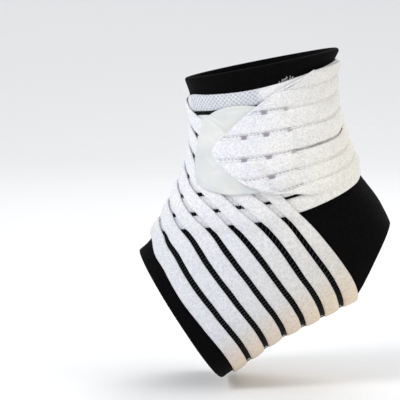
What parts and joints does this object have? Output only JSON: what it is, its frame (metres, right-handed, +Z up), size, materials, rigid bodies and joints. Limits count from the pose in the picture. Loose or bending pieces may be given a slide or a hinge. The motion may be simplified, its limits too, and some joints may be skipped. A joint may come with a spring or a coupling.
{
  "type": "ankle brace",
  "caption": "Soft neoprene ankle sleeve open at leg, toes and heel, wound in a figure of eight with a ribbed elastic strap whose tapered end lies on a hook tab.",
  "frame": {"origin": "middle of the ankle, on the axis of the leg at the height of the ankle bones", "axes": "+Z up the leg, -X toward the toes, -Y toward the outer side of a left ankle"},
  "size_m": [0.1387, 0.0912, 0.182],
  "materials": {
    "neoprene": "matt black jersey over closed-cell foam",
    "elastic": "white ribbed knit elastic with sheer lanes",
    "hook_tape": "smooth pale grey-blue woven back"
  },
  "bodies": {
    "root": {"sleeve": "neoprene", "strap": "elastic", "hook_tab": "hook_tape"}
  },
  "joints": []
}
